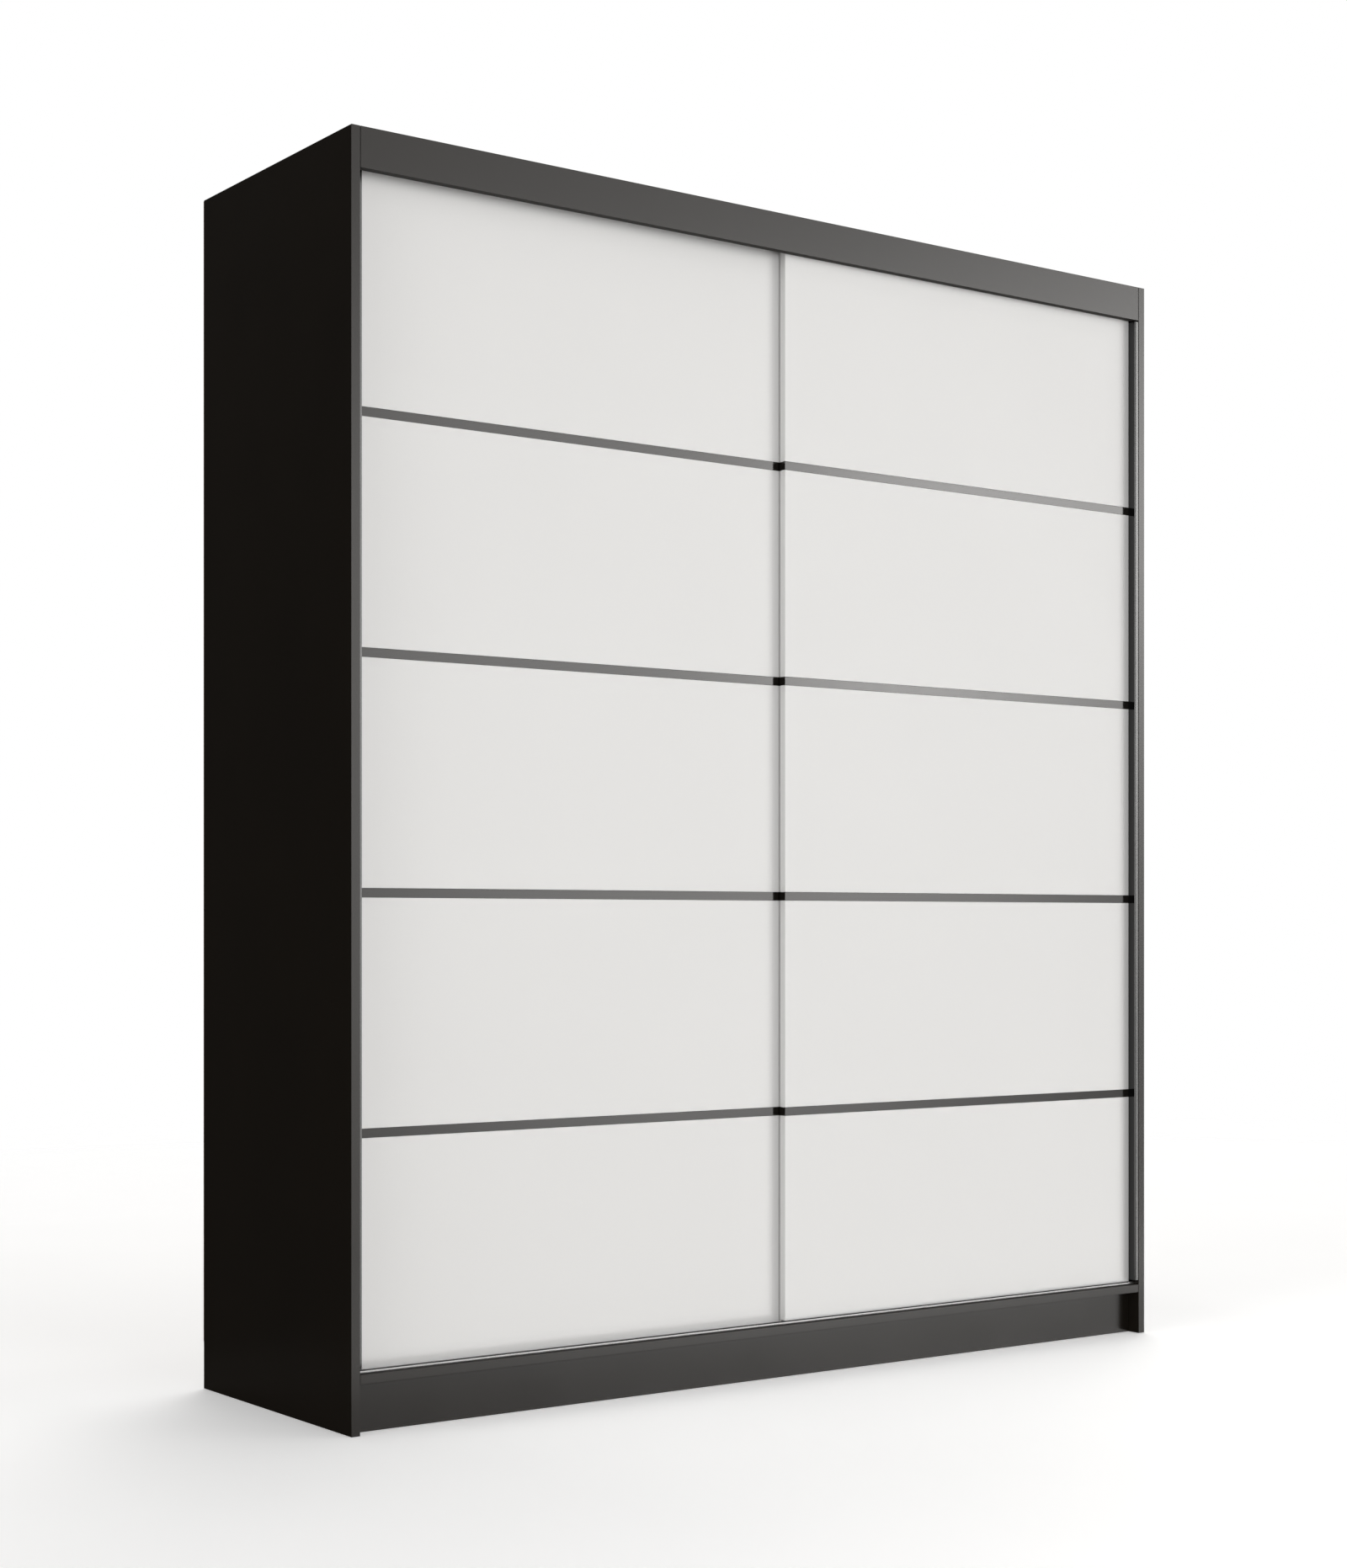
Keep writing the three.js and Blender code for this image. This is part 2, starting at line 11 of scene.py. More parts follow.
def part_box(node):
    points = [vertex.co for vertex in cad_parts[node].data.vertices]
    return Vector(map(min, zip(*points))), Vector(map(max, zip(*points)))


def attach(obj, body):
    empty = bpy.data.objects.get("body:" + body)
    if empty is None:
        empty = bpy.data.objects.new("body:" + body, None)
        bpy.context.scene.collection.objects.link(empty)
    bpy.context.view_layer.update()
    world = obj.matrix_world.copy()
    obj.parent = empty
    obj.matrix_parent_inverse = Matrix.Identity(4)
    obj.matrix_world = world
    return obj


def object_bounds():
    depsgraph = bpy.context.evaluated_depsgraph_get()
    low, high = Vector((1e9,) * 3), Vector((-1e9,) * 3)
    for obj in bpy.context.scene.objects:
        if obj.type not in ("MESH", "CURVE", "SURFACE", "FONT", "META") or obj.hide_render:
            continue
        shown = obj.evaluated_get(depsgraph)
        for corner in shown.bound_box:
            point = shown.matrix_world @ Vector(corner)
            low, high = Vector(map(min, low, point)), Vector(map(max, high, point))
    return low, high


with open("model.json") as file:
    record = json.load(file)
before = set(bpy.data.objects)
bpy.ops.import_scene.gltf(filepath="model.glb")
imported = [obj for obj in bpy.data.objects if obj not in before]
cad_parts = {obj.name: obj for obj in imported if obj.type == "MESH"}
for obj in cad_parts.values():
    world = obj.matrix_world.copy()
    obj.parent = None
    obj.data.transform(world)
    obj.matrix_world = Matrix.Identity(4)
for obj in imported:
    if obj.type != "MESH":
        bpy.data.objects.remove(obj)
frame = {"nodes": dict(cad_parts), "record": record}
CAD_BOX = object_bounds()
NODES = frame["nodes"]
MM = 0.001

LOW, HIGH = CAD_BOX
SIDES = ("left", "right")


# ---------------------------------------------------------------- node graph helpers


class Graph:
    """A material's node tree, with one short call for each kind of node."""

    def __init__(self, name):
        self.material = bpy.data.materials.new(name)
        self.material.use_nodes = True
        self.tree = self.material.node_tree
        self.tree.nodes.clear()
        self.output = self.node("ShaderNodeOutputMaterial")
        self.shader = self.node("ShaderNodeBsdfPrincipled")
        self.link(self.shader.outputs["BSDF"], self.output.inputs["Surface"])
        self.place = self.node("ShaderNodeTexCoord").outputs["Object"]

    def node(self, kind, **settings):
        made = self.tree.nodes.new(kind)
        for key, value in settings.items():
            setattr(made, key, value)
        return made

    def link(self, source, target):
        self.tree.links.new(source, target)

    def feed(self, node, values):
        for key, value in values.items():
            socket = node.inputs[key]
            if isinstance(value, bpy.types.NodeSocket):
                self.link(value, socket)
            else:
                socket.default_value = value
        return node

    def stretched(self, scale):
        mapping = self.node("ShaderNodeMapping")
        self.feed(mapping, {"Vector": self.place, "Scale": scale})
        return mapping.outputs["Vector"]

    def noise(self, scale, detail=2.0, roughness=0.5, vector=None):
        made = self.node("ShaderNodeTexNoise")
        values = {"Vector": vector or self.place, "Scale": scale, "Detail": detail, "Roughness": roughness}
        return self.feed(made, values).outputs["Fac"]

    def cells(self, scale):
        made = self.node("ShaderNodeTexVoronoi")
        return self.feed(made, {"Vector": self.place, "Scale": scale}).outputs["Distance"]

    def spread(self, value, low, high, from_low=0.0, from_high=1.0):
        made = self.node("ShaderNodeMapRange")
        values = {"From Min": from_low, "From Max": from_high, "To Min": low, "To Max": high}
        return self.feed(made, {"Value": value, **values}).outputs["Result"]

    def math(self, operation, first, second=0.0):
        made = self.node("ShaderNodeMath", operation=operation)
        return self.feed(made, {0: first, 1: second}).outputs["Value"]

    def mix(self, factor, first, second):
        made = self.node("ShaderNodeMix", data_type="RGBA")
        self.feed(made, {0: factor, 6: first, 7: second})
        return made.outputs[2]

    def facing(self, axis):
        """How far the surface looks along an axis, from -1 to 1."""
        parts = self.node("ShaderNodeSeparateXYZ")
        self.link(self.node("ShaderNodeNewGeometry").outputs["True Normal"], parts.inputs[0])
        return parts.outputs[axis]

    def bump(self, height, distance, strength):
        made = self.node("ShaderNodeBump")
        values = {"Height": height, "Distance": distance, "Strength": strength}
        return self.feed(made, values).outputs["Normal"]

    def surface(self, **values):
        self.feed(self.shader, {key.replace("_", " "): value for key, value in values.items()})
        return self.material


def grey(value, warmth=0.0):
    return (value * (1 + warmth), value, value * (1 - warmth), 1.0)


# ---------------------------------------------------------------- materials


def black_laminate():
    """Dark laminate: a fine pearl emboss, faint clouding and a satin sheen."""
    g = Graph("black_laminate")
    clouds = g.noise(scale=5.0, detail=3.0)
    pearl = g.noise(scale=1400.0, detail=2.0, roughness=0.6)
    color = g.mix(clouds, grey(0.0064, 0.25), grey(0.0082, 0.3))
    satin = g.spread(g.noise(scale=9.0, detail=4.0), 0.18, 0.24)
    # faces that look up or down are matt: they hold dust, or bare edging
    dull = g.spread(g.math("ABSOLUTE", g.facing("Z")), 0.0, 0.6, 0.8, 0.95)
    roughness = g.math("ADD", satin, dull)
    return g.surface(
        Base_Color=color,
        Roughness=roughness,
        Normal=g.bump(pearl, distance=0.00004, strength=0.5),
    )


def white_laminate():
    """White laminate: even and satin-gloss, with a very fine emboss."""
    g = Graph("white_laminate")
    clouds = g.noise(scale=3.0, detail=3.0)
    pearl = g.noise(scale=1100.0, detail=2.0, roughness=0.6)
    color = g.mix(clouds, (0.686, 0.684, 0.68, 1), (0.7, 0.698, 0.693, 1))
    roughness = g.spread(g.noise(scale=7.0, detail=4.0), 0.38, 0.46)
    return g.surface(
        Base_Color=color,
        Roughness=roughness,
        Normal=g.bump(pearl, distance=0.00002, strength=0.35),
    )


def gloss_black():
    """Polished black divider strip, with a slight orange peel along its length."""
    g = Graph("gloss_black")
    peel = g.noise(scale=160.0, detail=2.0, vector=g.stretched((0.4, 1.0, 1.0)))
    color = g.mix(g.noise(scale=12.0, detail=2.0), grey(0.005, 0.2), grey(0.007, 0.2))
    return g.surface(
        Base_Color=color,
        IOR=1.57,
        Roughness=g.spread(g.noise(scale=30.0, detail=3.0), 0.1, 0.15),
        Normal=g.bump(peel, distance=0.00002, strength=0.4),
    )


def hardboard():
    """Back panel: white lacquer on the inner face, raw brown fibre on the rear face and the edges."""
    g = Graph("hardboard")
    # the lacquered face looks to the front, along -Y
    lacquered = g.math("LESS_THAN", g.facing("Y"), -0.5)
    fibres = g.noise(scale=260.0, detail=5.0, roughness=0.65, vector=g.stretched((1.0, 1.0, 0.35)))
    flecks = g.cells(420.0)
    raw = g.mix(fibres, (0.115, 0.062, 0.030, 1), (0.245, 0.150, 0.082, 1))
    dark_flecks = g.spread(flecks, 0.55, 0.0, 0.0, 0.22)
    raw = g.mix(dark_flecks, raw, (0.07, 0.038, 0.018, 1))
    white = g.mix(g.noise(scale=4.0, detail=3.0), (0.66, 0.65, 0.63, 1), (0.70, 0.69, 0.67, 1))
    roughness = g.spread(lacquered, 0.72, 0.38)
    return g.surface(
        Base_Color=g.mix(lacquered, raw, white),
        Roughness=roughness,
        Normal=g.bump(fibres, distance=0.00015, strength=0.5),
    )


def brushed_metal(name, low, high, rough, stretch, highlight_and_rub=None):
    """Anodised aluminium, drawn along its length; its faces to the front may be painted lighter, a painted
    highlight, and made rougher, as hands rub them.
    """
    g = Graph(name)
    lines = g.noise(scale=900.0, detail=3.0, roughness=0.7, vector=g.stretched(stretch))
    color = g.mix(lines, low, high)
    roughness = g.spread(lines, rough[0], rough[1])
    if highlight_and_rub is not None:
        # faces to the front: the lighter colour here is a painted highlight; the added roughness is that
        # of rubbing hands
        lit_and_rubbed_front = g.spread(g.facing("Y"), 1.0, 0.0, -0.9, -0.5)
        color = g.mix(lit_and_rubbed_front, color, highlight_and_rub["color"])
        roughness = g.math("ADD", roughness, g.math("MULTIPLY", lit_and_rubbed_front, highlight_and_rub["rougher"]))
    return g.surface(
        Base_Color=color,
        Metallic=1.0,
        Roughness=roughness,
        Normal=g.bump(lines, distance=0.00002, strength=0.35),
    )


def chrome():
    """Bright plated steel, with faint rubbing marks round the tube."""
    g = Graph("chrome")
    rubs = g.noise(scale=220.0, detail=4.0, roughness=0.6, vector=g.stretched((3.0, 1.0, 1.0)))
    color = g.mix(rubs, grey(0.60), grey(0.68))
    return g.surface(
        Base_Color=color,
        Metallic=1.0,
        Roughness=g.spread(rubs, 0.05, 0.14),
        Normal=g.bump(rubs, distance=0.00001, strength=0.3),
    )


def moulded_plastic(name, low, high, rough):
    """Moulded plastic with a fine spark-eroded texture."""
    g = Graph(name)
    texture = g.noise(scale=1800.0, detail=2.0, roughness=0.6)
    color = g.mix(g.noise(scale=40.0, detail=3.0), low, high)
    return g.surface(
        Base_Color=color,
        Roughness=g.spread(g.noise(scale=60.0, detail=3.0), rough[0], rough[1]),
        Normal=g.bump(texture, distance=0.00004, strength=0.5),
    )


# Painted highlight on the grips' faces to the front (a lighter colour), with the rougher finish of rubbing
# hands
FRONT_HIGHLIGHT_AND_RUB = {"color": grey(0.115), "rougher": 0.13}

MATERIALS = {
    "black_laminate": black_laminate(),
    "white_laminate": white_laminate(),
    "gloss_black": gloss_black(),
    "hardboard": hardboard(),
    "aluminium": brushed_metal("aluminium", grey(0.55), grey(0.68), (0.22, 0.34), (0.02, 1.0, 1.0)),
    "dark_aluminium": brushed_metal(
        "dark_aluminium", grey(0.064), grey(0.08), (0.1, 0.15), (1.0, 1.0, 0.02), highlight_and_rub=FRONT_HIGHLIGHT_AND_RUB
    ),
    "chrome": chrome(),
    "black_plastic": moulded_plastic("black_plastic", grey(0.014), grey(0.02), (0.42, 0.55)),
    "wheel_plastic": moulded_plastic("wheel_plastic", grey(0.5, 0.05), grey(0.58, 0.05), (0.32, 0.42)),
}


# ---------------------------------------------------------------- edges of the CAD pieces

# Radius of the rounded edges by slot, in millimetres
EDGE_RADIUS = {
    "black_laminate": 0.7,
    "white_laminate": 0.5,
    "gloss_black": 0.3,
    "hardboard": 0.3,
    "aluminium": 0.35,
    "dark_aluminium": 0.4,
    "chrome": 0.3,
    "black_plastic": 0.5,
    "wheel_plastic": 0.3,
}
EDGE_SEGMENTS = 3
SHARP = math.radians(40)
SAME_PLANE = math.radians(0.5)
WELD_REACH = 0.02 * MM


def plain_normals():
    """A modifier group that drops the stored normals, so that flat faces shade flat."""
    tree = bpy.data.node_groups.new("plain_normals", "GeometryNodeTree")
    for direction in ("INPUT", "OUTPUT"):
        tree.interface.new_socket("Geometry", in_out=direction, socket_type="NodeSocketGeometry")
    remove = tree.nodes.new("GeometryNodeRemoveAttribute")
    remove.inputs["Name"].default_value = "custom_normal"
    tree.links.new(tree.nodes.new("NodeGroupInput").outputs[0], remove.inputs[0])
    tree.links.new(remove.outputs[0], tree.nodes.new("NodeGroupOutput").inputs[0])
    return tree


PLAIN_NORMALS = plain_normals()


def soften(piece, radius):
    """Joins the faceted mesh's corners, clears its flat triangles and rounds its sharp edges."""
    piece.modifiers.new("plain", "NODES").node_group = PLAIN_NORMALS
    weld = piece.modifiers.new("weld", "WELD")
    weld.merge_threshold = WELD_REACH
    flat = piece.modifiers.new("flat", "DECIMATE")
    flat.decimate_type = "DISSOLVE"
    flat.angle_limit = SAME_PLANE
    round_edges(piece, radius)


def round_edges(piece, radius):
    bevel = piece.modifiers.new("bevel", "BEVEL")
    bevel.width = radius * MM
    bevel.segments = EDGE_SEGMENTS
    bevel.limit_method = "ANGLE"
    bevel.angle_limit = SHARP
    bevel.use_clamp_overlap = True
    shading = piece.modifiers.new("shading", "WEIGHTED_NORMAL")
    shading.weight = 100
    shading.thresh = 0.01
    for polygon in piece.data.polygons:
        polygon.use_smooth = True


def dress_cad():
    slots = {s["node"]: s["material_slot"] for s in frame["record"]["subparts"]}
    for name, piece in NODES.items():
        slot = slots[name]
        piece.data.materials.clear()
        piece.data.materials.append(MATERIALS[slot])
        soften(piece, EDGE_RADIUS[slot])


dress_cad()


# ---------------------------------------------------------------- fine fittings

# Sizes in this section are in millimetres; places are in metres
DOORS = ("front_door", "rear_door")
SHELVES = [f"shelf_{i}" for i in range(1, 5)]
UP = Vector((0, 0, 1))
DOWN = -UP
BACKWARD = Vector((0, 1, 0))
RIGHTWARD = Vector((1, 0, 0))

CAP = {"radius": 8.5, "proud": 1.0, "edge": 0.5, "dimple": 2.4}
CAP_PLACE = {"from_end": 26.0, "from_front": 70.0, "from_rear": 60.0}
NAIL = {"radius": 2.6, "proud": 0.9, "pitch": 95.0, "inset": 8.0}
SOCKET = {"flange": 2.5, "screw_drop": 23.5, "screw_radius": 3.4, "screw_proud": 1.3}
STRIP_END = {"thickness": 0.35, "edge": 0.15}
# The lower track: its web's thickness, and how far its screws lie from its front edge and its ends
TRACK = {"web": 1.2, "to_middle": 23.0, "to_screw": 70.0}
TRACK_SCREW = {"count": 6, "radius": 3.0, "proud": 0.4}
STOP = {"length": 24.0, "height": 2.2, "width": 5.4, "lift": 1.25, "edge": 0.6}
BUFFER = {"radius": 4.5, "proud": 1.1, "edge": 0.6, "heights": (0.16, 0.5, 0.88)}
SCREW_STEPS = 32
TURN_STEPS = 28
RIM_STEPS = 4
HEAD_STEPS = 6


def add_piece(name, shape, slot, body="carcass", radius=0.0):
    """Links a finished bmesh as a piece that rides on a body and takes its finish from a slot."""
    mesh = bpy.data.meshes.new(name)
    bmesh.ops.recalc_face_normals(shape, faces=shape.faces)
    shape.to_mesh(mesh)
    shape.free()
    piece = bpy.data.objects.new(name, mesh)
    bpy.context.scene.collection.objects.link(piece)
    mesh.materials.append(MATERIALS[slot])
    if radius > 0:
        round_edges(piece, radius)
    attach(piece, body)
    return piece


def stand(place, facing, spin=0.0):
    """The matrix that sets a shape drawn about Z on a place, looking along facing."""
    turn = facing.to_track_quat("Z", "Y").to_matrix().to_4x4()
    return Matrix.Translation(place) @ turn @ Matrix.Rotation(spin, 4, "Z") @ Matrix.Scale(MM, 4)


def turned(shape, profile, place, facing):
    """Adds a solid of revolution from (radius, height) points that begin and end on the axis."""
    matrix = stand(place, facing)
    rings = []
    for radius, height in profile:
        count = TURN_STEPS if radius > 0 else 1
        angles = [math.tau * i / count for i in range(count)]
        corners = [(radius * math.cos(a), radius * math.sin(a), height) for a in angles]
        rings.append([shape.verts.new(matrix @ Vector(corner)) for corner in corners])
    for lower, upper in zip(rings, rings[1:]):
        for i in range(TURN_STEPS):
            j = (i + 1) % TURN_STEPS
            around = [lower[i % len(lower)], lower[j % len(lower)]]
            around += [upper[j % len(upper)], upper[i % len(upper)]]
            # next to the axis two of the four corners are the same one
            face = shape.faces.new(list(dict.fromkeys(around)))
            face.smooth = True


def dome(radius, proud, edge, dimple=0.0):
    """A flat-topped button: its rim is a quarter round, and its middle may hold a shallow dimple."""
    rim = []
    for step in range(RIM_STEPS + 1):
        angle = 0.5 * math.pi * step / RIM_STEPS
        rim.append((radius - edge * (1 - math.cos(angle)), proud - edge * (1 - math.sin(angle))))
    top = [(0.0, proud)]
    if dimple > 0:
        top = [(dimple, proud), (0.7 * dimple, 0.7 * proud), (0.0, 0.6 * proud)]
    return [(0.0, 0.0), (radius, 0.0)] + rim + top


def rounded_head(radius, proud):
    """A nail's rounded head: half an ellipsoid, flat side down."""
    angles = [0.5 * math.pi * step / HEAD_STEPS for step in range(HEAD_STEPS)]
    arc = [(radius * math.cos(angle), proud * math.sin(angle)) for angle in angles]
    return [(0.0, 0.0)] + arc + [(0.0, proud)]


def screw(shape, place, facing, radius, proud, spin=0.0):
    """Adds a low round screw head with a cross recess."""
    matrix = stand(place, facing, spin)
    recess = {"length": 0.58 * radius, "width": 0.13 * radius, "depth": 0.75 * proud}
    sag = 0.55 * proud
    rings = []
    # the rings are close together where the recess has its walls
    for fraction in (0.07, 0.14, 0.24, 0.36, 0.48, 0.56, 0.62, 0.72, 0.84, 0.94, 1.0):
        ring = []
        for i in range(SCREW_STEPS):
            angle = math.tau * i / SCREW_STEPS
            x = fraction * radius * math.cos(angle)
            y = fraction * radius * math.sin(angle)
            along, across = max(abs(x), abs(y)), min(abs(x), abs(y))
            height = proud - sag * fraction ** 3
            if along < recess["length"] and across < recess["width"]:
                height -= recess["depth"]
            ring.append(shape.verts.new(matrix @ Vector((x, y, height))))
        rings.append(ring)
    skirt = []
    for i in range(SCREW_STEPS):
        angle = math.tau * i / SCREW_STEPS
        corner = Vector((radius * math.cos(angle), radius * math.sin(angle), 0))
        skirt.append(shape.verts.new(matrix @ corner))
    rings.append(skirt)
    for inner, outer in zip(rings, rings[1:]):
        for i in range(SCREW_STEPS):
            j = (i + 1) % SCREW_STEPS
            shape.faces.new([inner[i], inner[j], outer[j], outer[i]])
    shape.faces.new(rings[0])
    shape.faces.new(skirt)


def slab(shape, low, high):
    """Adds a box between two corners given in metres."""
    made = bmesh.ops.create_cube(shape, size=1.0)
    size = Vector(high) - Vector(low)
    middle = (Vector(high) + Vector(low)) / 2
    bmesh.ops.scale(shape, vec=size, verts=made["verts"])
    bmesh.ops.translate(shape, vec=middle, verts=made["verts"])


def build_cam_caps():
    """Caps over the cam fittings, on the underside of each board near its ends."""
    white_boards = SHELVES + [f"hat_shelf_{side}" for side in SIDES]
    profile = dome(CAP["radius"], CAP["proud"], CAP["edge"], CAP["dimple"])
    groups = {"white_cam_caps": (white_boards, "wheel_plastic"),
              "black_cam_caps": (["top_board", "bottom_board"], "black_plastic")}
    for name, (boards, slot) in groups.items():
        shape = bmesh.new()
        for board in boards:
            low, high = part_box(board)
            for x in (low.x + CAP_PLACE["from_end"] * MM, high.x - CAP_PLACE["from_end"] * MM):
                for y in (low.y + CAP_PLACE["from_front"] * MM, high.y - CAP_PLACE["from_rear"] * MM):
                    turned(shape, profile, Vector((x, y, low.z)), DOWN)
        add_piece(name, shape, slot)


def build_back_nails():
    """Rounded nail heads along the back panels' edges and along the boards that they are nailed to."""
    shape = bmesh.new()
    profile = rounded_head(NAIL["radius"], NAIL["proud"])
    inset = NAIL["inset"] * MM

    def row(start, end):
        span = (end - start).length
        count = max(1, round(span / (NAIL["pitch"] * MM)))
        for i in range(count + 1):
            turned(shape, profile, start.lerp(end, i / count), BACKWARD)

    for side in SIDES:
        low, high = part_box(f"back_panel_{side}")
        rear = high.y
        left, right = low.x + inset, high.x - inset
        bottom, top = low.z + inset, high.z - inset
        for x in (left, right):
            row(Vector((x, rear, bottom)), Vector((x, rear, top)))
        boards = [f"hat_shelf_{side}"]
        if side == "left":
            boards += SHELVES
        heights = [sum(corner.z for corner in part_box(board)) / 2 for board in boards]
        step = Vector((NAIL["pitch"] * MM, 0, 0))
        for z in [bottom, top] + heights:
            row(Vector((left, rear, z)) + step, Vector((right, rear, z)) - step)
    add_piece("back_nails", shape, "chrome")


def build_socket_screws():
    """Two screws in each rail socket's flange, above and below the tube."""
    shape = bmesh.new()
    drop = SOCKET["screw_drop"] * MM
    for side, facing in zip(SIDES, (RIGHTWARD, -RIGHTWARD)):
        low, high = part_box(f"rail_socket_{side}")
        wall = low if side == "left" else high
        x = wall.x + facing.x * SOCKET["flange"] * MM
        y, z = (low.y + high.y) / 2, (low.z + high.z) / 2
        for offset, spin in ((-drop, 0.3), (drop, 1.0)):
            place = Vector((x, y, z + offset))
            screw(shape, place, facing, SOCKET["screw_radius"], SOCKET["screw_proud"], spin)
    add_piece("socket_screws", shape, "chrome")


def build_strip_ends():
    """Thin black caps that close the divider strips' hollow ends where the doors overlap."""
    thickness = STRIP_END["thickness"] * MM
    for door, inner in zip(DOORS, SIDES):
        shape = bmesh.new()
        for i in range(1, 5):
            low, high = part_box(f"{door}_strip_{i}")
            if inner == "left":
                slab(shape, (low.x - thickness, low.y, low.z), (low.x, high.y, high.z))
            else:
                slab(shape, (high.x, low.y, low.z), (high.x + thickness, high.y, high.z))
        add_piece(f"{door}_strip_ends", shape, "gloss_black", body=door, radius=STRIP_END["edge"])


def build_track_screws():
    """Flat screws that hold the lower track down, between the two pairs of ribs."""
    shape = bmesh.new()
    low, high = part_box("bottom_track")
    y = low.y + TRACK["to_middle"] * MM
    z = low.z + TRACK["web"] * MM
    first = low.x + TRACK["to_screw"] * MM
    last = high.x - TRACK["to_screw"] * MM
    for i in range(TRACK_SCREW["count"]):
        x = first + (last - first) * i / (TRACK_SCREW["count"] - 1)
        spin = 0.7 * i
        screw(shape, Vector((x, y, z)), UP, TRACK_SCREW["radius"], TRACK_SCREW["proud"], spin)
    add_piece("track_screws", shape, "chrome")


def door_middle(door):
    """The depth of a door's middle plane."""
    return sum(corner.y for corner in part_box(f"{door}_strip_1")) / 2


def build_track_stops():
    """Low block-shaped stops in the ends of each groove of the lower track."""
    shape = bmesh.new()
    low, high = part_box("bottom_track")
    length, height, width = (STOP[key] * MM for key in ("length", "height", "width"))
    floor = low.z + STOP["lift"] * MM
    for door in DOORS:
        y = door_middle(door)
        for wall, inward in ((low.x, 1), (high.x, -1)):
            ends = sorted((wall, wall + inward * length))
            slab(shape, (ends[0], y - width / 2, floor), (ends[1], y + width / 2, floor + height))
    add_piece("track_stops", shape, "black_plastic", radius=STOP["edge"])


def build_buffers():
    """Rubber buttons on the side panels, in the gap that a closed or an opened door leaves."""
    shape = bmesh.new()
    profile = dome(BUFFER["radius"], BUFFER["proud"], BUFFER["edge"])
    for door in DOORS:
        y = door_middle(door)
        for side, facing in zip(SIDES, (RIGHTWARD, -RIGHTWARD)):
            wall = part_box(f"side_panel_{side}")[1 if side == "left" else 0]
            for height in BUFFER["heights"]:
                place = Vector((wall.x, y, LOW.z + height * (HIGH.z - LOW.z)))
                turned(shape, profile, place, facing)
    add_piece("door_buffers", shape, "black_plastic")


build_cam_caps()
build_back_nails()
build_socket_screws()
build_strip_ends()
build_track_screws()
build_track_stops()
build_buffers()


# ---------------------------------------------------------------- surroundings, light and camera


FLOOR = {"half": 7.0, "drop": 0.5 * MM, "fade_from": 0.3, "fade_to": 0.95, "own_light": 0.35}
FLAG = {"depth": 0.48, "drop": 0.2 * MM, "inset": 0.03, "fade_from": 0.6, "strength": 0.62}


def ground_sheet(name, half_x, half_y, drop):
    """Adds a flat sheet under the wardrobe that isn't part of it and throws no light or shade on it."""
    mesh = bpy.data.meshes.new(name)
    corners = [(-half_x, -half_y, 0), (half_x, -half_y, 0), (half_x, half_y, 0), (-half_x, half_y, 0)]
    mesh.from_pydata(corners, [], [(0, 1, 2, 3)])
    sheet = bpy.data.objects.new(name, mesh)
    bpy.context.scene.collection.objects.link(sheet)
    sheet.location.z = LOW.z - drop
    sheet.visible_diffuse = False
    sheet.visible_shadow = False
    return sheet


def build_floor():
    """A plain pale floor that only the camera sees, and that fades out into the white around it."""
    half = FLOOR["half"]
    floor = ground_sheet("floor", half, half, FLOOR["drop"])
    floor.visible_glossy = False
    g = Graph("studio_floor")
    color = g.mix(g.noise(scale=2.0, detail=2.0), grey(0.93), grey(0.96))
    distance = g.node("ShaderNodeVectorMath", operation="LENGTH")
    g.link(g.place, distance.inputs[0])
    starts, ends = FLOOR["fade_from"] * half, FLOOR["fade_to"] * half
    floor.data.materials.append(g.surface(
        Base_Color=color,
        Roughness=0.8,
        Emission_Color=color,
        Emission_Strength=FLOOR["own_light"],
        Alpha=g.spread(distance.outputs["Value"], 1.0, 0.0, starts, ends),
    ))


def build_flag():
    """A dark card round the wardrobe's foot that only reflections see: the shaded floor at its foot."""
    depth = FLAG["depth"]
    half_x = (HIGH.x - LOW.x) / 2
    half_y = (HIGH.y - LOW.y) / 2 - FLAG["inset"]
    flag = ground_sheet("flag", half_x + depth, half_y + depth, FLAG["drop"])
    flag.visible_camera = False
    g = Graph("flag")
    parts = g.node("ShaderNodeSeparateXYZ")
    g.link(g.place, parts.inputs[0])
    past_end = g.math("SUBTRACT", g.math("ABSOLUTE", parts.outputs["X"]), half_x)
    past_side = g.math("SUBTRACT", g.math("ABSOLUTE", parts.outputs["Y"]), half_y)
    past = g.math("MAXIMUM", past_end, past_side)
    fade = g.spread(past, FLAG["strength"], 0.0, FLAG["fade_from"] * depth, depth)
    flag.data.materials.append(g.surface(Base_Color=grey(0.01), Roughness=1.0, Alpha=fade))


# Patches of soft light, in degrees: azimuth (0 is the front, 90 the right), elevation, the patch's
# half width and half height, and its strength; the one with a negative strength is a shaded patch.
# The first five rows were not chosen by hand: a program fitted them to the photo's reflections, and
# they were then rounded. The last two were set one by one.
SOFT_PATCHES = {
    "high_right": (52.0, 10.0, 5.0, 3.0, 11.0),
    "right": (39.5, 7.0, 3.0, 4.0, 7.0),
    "middle": (30.5, 7.5, 4.0, 5.0, 2.6),
    "low_middle": (34.0, -2.0, 4.5, 2.7, 2.5),
    "floor_right": (48.5, -15.5, 9.0, 2.5, 18.0),
    "shaded_right": (46.5, -4.0, 3.0, 5.0, -0.4),
    "left": (-80.0, 8.0, 7.0, 14.0, 2.8),
}
# Wide glows: azimuth, elevation, how fast the light falls off around that direction, and its strength
WIDE_GLOWS = {
    "front": (38.0, 7.0, 2.2, 0.9),
    "left": (-78.0, 5.0, 10.0, 2.3),
    "rear": (140.0, 38.0, 12.0, 3.6),
}
TINT = (1.0, 0.988, 0.972, 1)
SOFTBOX = {"place": (-0.4, -5.2, 1.9), "target": (0.0, 0.0, 1.0), "side": 1.8, "power": 54.0}


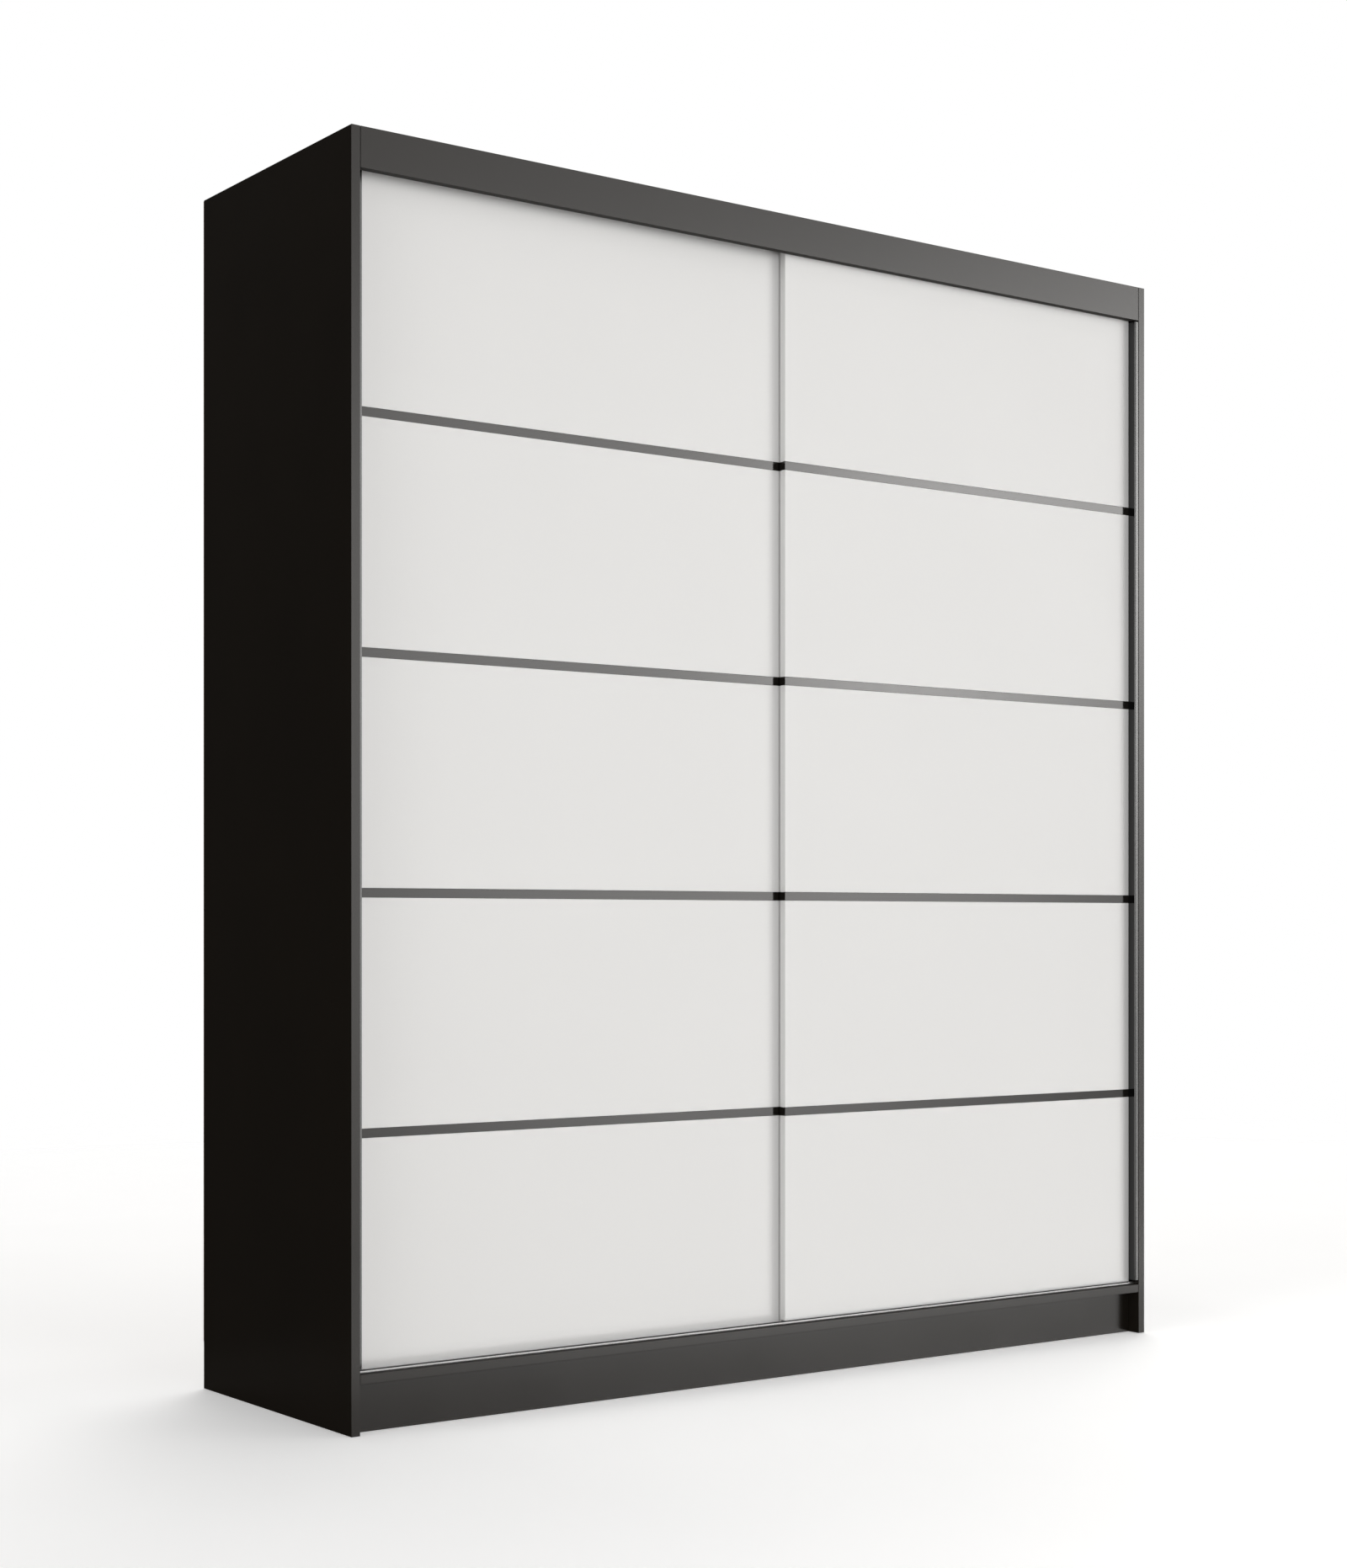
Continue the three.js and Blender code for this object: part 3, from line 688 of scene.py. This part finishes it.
class World:
    """The studio's surroundings as light by direction; the camera itself sees plain white."""

    def __init__(self):
        world = bpy.data.worlds.new("studio")
        bpy.context.scene.world = world
        world.use_nodes = True
        self.tree = world.node_tree
        self.tree.nodes.clear()
        self.direction = self.node("ShaderNodeTexCoord").outputs["Generated"]
        parts = self.node("ShaderNodeSeparateXYZ")
        self.wire(self.direction, parts.inputs[0])
        towards_front = self.math("MULTIPLY", parts.outputs["Y"], -1.0)
        self.azimuth = self.math("ARCTAN2", parts.outputs["X"], towards_front)
        self.elevation = self.math("ARCSINE", parts.outputs["Z"])

    def node(self, kind, **settings):
        made = self.tree.nodes.new(kind)
        for key, value in settings.items():
            setattr(made, key, value)
        return made

    def wire(self, value, socket):
        if isinstance(value, bpy.types.NodeSocket):
            self.tree.links.new(value, socket)
        else:
            socket.default_value = value

    def math(self, operation, first, second=0.0):
        made = self.node("ShaderNodeMath", operation=operation)
        self.wire(first, made.inputs[0])
        self.wire(second, made.inputs[1])
        return made.outputs[0]

    def away(self, angle, centre, half_width):
        """How many half widths an angle lies from the middle, squared."""
        offset = self.math("SUBTRACT", angle, math.radians(centre))
        return self.math("POWER", self.math("DIVIDE", offset, math.radians(half_width)), 2.0)

    def patch(self, azimuth, elevation, half_width, half_height, strength):
        across = self.away(self.azimuth, azimuth, half_width)
        up = self.away(self.elevation, elevation, half_height)
        fall = self.math("MULTIPLY", self.math("ADD", across, up), -0.5)
        return self.math("MULTIPLY", self.math("EXPONENT", fall), strength)

    def glow(self, azimuth, elevation, falloff, strength):
        a, e = math.radians(azimuth), math.radians(elevation)
        dot = self.node("ShaderNodeVectorMath", operation="DOT_PRODUCT")
        self.wire(self.direction, dot.inputs[0])
        dot.inputs[1].default_value = (math.sin(a) * math.cos(e), -math.cos(a) * math.cos(e), math.sin(e))
        fall = self.math("MULTIPLY", self.math("SUBTRACT", dot.outputs["Value"], 1.0), falloff)
        return self.math("MULTIPLY", self.math("EXPONENT", fall), strength)

    def finish(self, light, tint):
        studio = self.node("ShaderNodeBackground")
        studio.inputs["Color"].default_value = tint
        self.wire(light, studio.inputs["Strength"])
        white = self.node("ShaderNodeBackground")
        white.inputs["Color"].default_value = (1, 1, 1, 1)
        both = self.node("ShaderNodeMixShader")
        self.wire(self.node("ShaderNodeLightPath").outputs["Is Camera Ray"], both.inputs[0])
        self.wire(studio.outputs[0], both.inputs[1])
        self.wire(white.outputs[0], both.inputs[2])
        self.wire(both.outputs[0], self.node("ShaderNodeOutputWorld").inputs["Surface"])


def build_world():
    world = World()
    light = 0.0
    for values in SOFT_PATCHES.values():
        light = world.math("ADD", light, world.patch(*values))
    for values in WIDE_GLOWS.values():
        light = world.math("ADD", light, world.glow(*values))
    world.finish(light, TINT)


def build_softbox():
    data = bpy.data.lights.new("softbox", "AREA")
    data.shape = "RECTANGLE"
    data.size = SOFTBOX["side"]
    data.size_y = SOFTBOX["side"]
    data.energy = SOFTBOX["power"]
    light = bpy.data.objects.new("softbox", data)
    bpy.context.scene.collection.objects.link(light)
    light.location = SOFTBOX["place"]
    aim = Vector(SOFTBOX["target"]) - Vector(SOFTBOX["place"])
    light.rotation_euler = aim.to_track_quat("-Z", "Y").to_euler()


# The camera stands level, in front of the wardrobe's left end; its shift frames the wardrobe. These
# values come from a least-squares fit to the photo's edges.
EYE = Vector((-2.8816, -4.1703, 0.8366))
HEADING = math.radians(37.987)
LENS = 60.03
SHIFT = (-0.1168, 0.0907)


def build_camera():
    data = bpy.data.cameras.new("camera")
    data.lens = LENS
    data.sensor_width = 36.0
    data.sensor_fit = "AUTO"
    data.shift_x, data.shift_y = SHIFT
    data.clip_end = 100.0
    camera = bpy.data.objects.new("camera", data)
    bpy.context.scene.collection.objects.link(camera)
    camera.location = EYE
    camera.rotation_euler = (math.radians(90), 0, -HEADING)
    bpy.context.scene.camera = camera


build_floor()
build_flag()
build_world()
build_camera()
build_softbox()
bpy.context.scene.view_settings.view_transform = "Standard"
bpy.context.scene.view_settings.look = "None"
